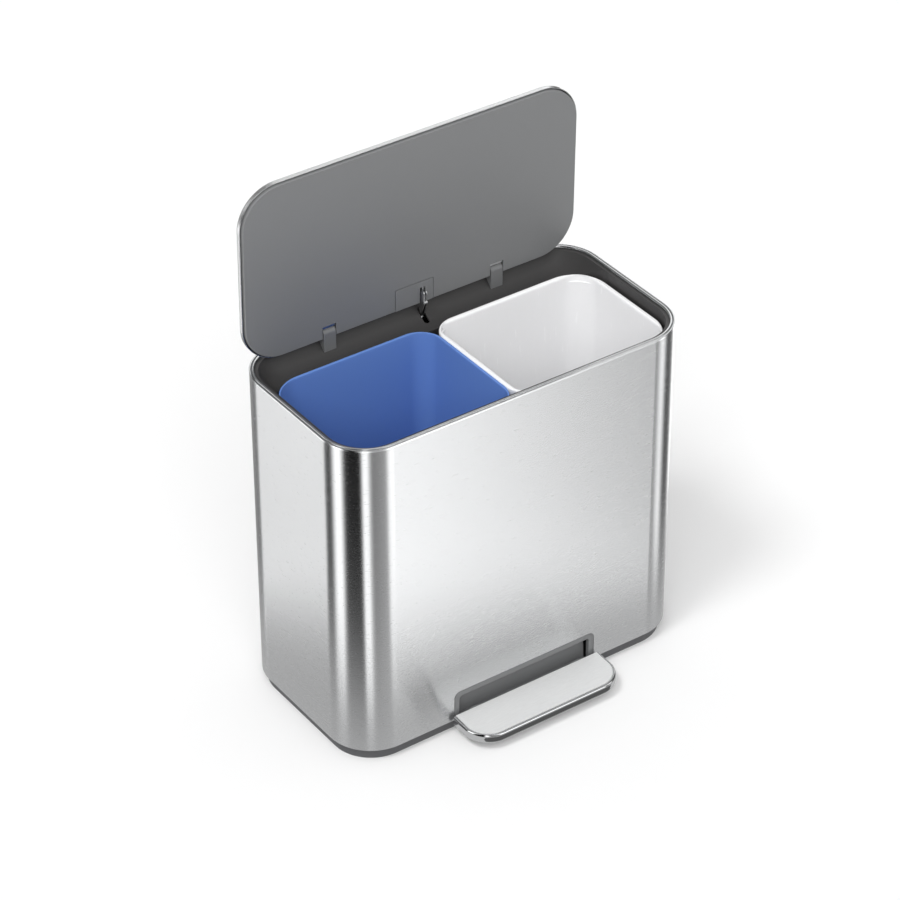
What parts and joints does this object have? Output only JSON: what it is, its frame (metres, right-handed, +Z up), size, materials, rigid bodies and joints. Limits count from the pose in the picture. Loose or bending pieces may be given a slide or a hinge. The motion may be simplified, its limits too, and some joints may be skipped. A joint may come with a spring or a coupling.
{
  "type": "double recycling bin",
  "caption": "Brushed steel pedal bin with a shared upright-opening lid and two lift-out buckets, blue and white, for sorting waste.",
  "frame": {"origin": "on the floor, under the middle of the body's footprint", "axes": "+X across the width to the right, +Y to the rear, where the lid hinges, +Z up"},
  "size_m": [0.405, 0.2612, 0.5664],
  "materials": {
    "brushed_steel": "fine horizontal brushing, satin",
    "rim_steel": "smooth satin steel",
    "plain_steel": "plain zinc-plated steel",
    "pedal_chrome": "polished chrome",
    "grey_plastic": "fine matt texture",
    "liner_plastic": "fine matt texture",
    "black_plastic": "matt",
    "foot_rubber": "matt",
    "blue_plastic": "smooth, half gloss",
    "white_plastic": "smooth, glossy"
  },
  "bodies": {
    "body": {"outer_sleeve": "brushed_steel", "rim_ring": "rim_steel", "inner_frame": "grey_plastic", "base_tray": "grey_plastic", "bucket_floor": "grey_plastic", "pedal_bezel": "grey_plastic", "rod_cover": "grey_plastic", "rod_guides": "grey_plastic", "damper_mount": "plain_steel", "damper_cylinder": "black_plastic", "damper_cap": "black_plastic", "pedal_axle": "plain_steel", "axle_clips": "plain_steel", "hinge_lugs": "grey_plastic", "hinge_screws": "plain_steel", "floor_screws": "plain_steel", "cover_screws": "plain_steel", "feet": "foot_rubber"},
    "lid": {"lid_shell": "brushed_steel", "lid_liner": "liner_plastic", "link_cover": "liner_plastic", "hinge_plate": "plain_steel", "hinge_pins": "plain_steel", "lid_screws": "plain_steel"},
    "rod": {"push_rod": "plain_steel", "lift_arm": "plain_steel", "link_pin": "plain_steel", "rod_head_pin": "plain_steel", "rod_foot_pin": "plain_steel", "damper_yoke": "plain_steel", "damper_piston": "plain_steel"},
    "pedal": {"pedal_core": "grey_plastic", "pedal_frame": "pedal_chrome", "pedal_tread": "brushed_steel", "pedal_lever": "plain_steel", "pedal_screws": "plain_steel"},
    "blue": {"blue_bucket": "blue_plastic"},
    "white": {"white_bucket": "white_plastic"}
  },
  "joints": [
    {"name": "lid_hinge", "type": "hinge", "parent": "body", "child": "lid", "pos_m": [0, 0.0901, 0.378], "axis": [-1, 0, 0], "range_deg": [-89, 0]},
    {"name": "rod_slide", "type": "slide", "parent": "body", "child": "rod", "axis": [0, 0, 1], "range_m": [-0.0143, 0]},
    {"name": "pedal_pivot", "type": "hinge", "parent": "body", "child": "pedal", "pos_m": [0.0101, 0, 0.016], "axis": [1, 0, 0], "range_deg": [-9, 0]},
    {"name": "blue_lift", "type": "slide", "parent": "body", "child": "blue", "axis": [0, 0, 1], "range_m": [0, 0.33]},
    {"name": "white_lift", "type": "slide", "parent": "body", "child": "white", "axis": [0, 0, 1], "range_m": [0, 0.33]}
  ],
  "couplings": [
    {"joint": "rod_slide", "follows": "lid_hinge", "m_per_rad": 0.009158},
    {"joint": "pedal_pivot", "follows": "lid_hinge", "ratio": 0.10046}
  ]
}
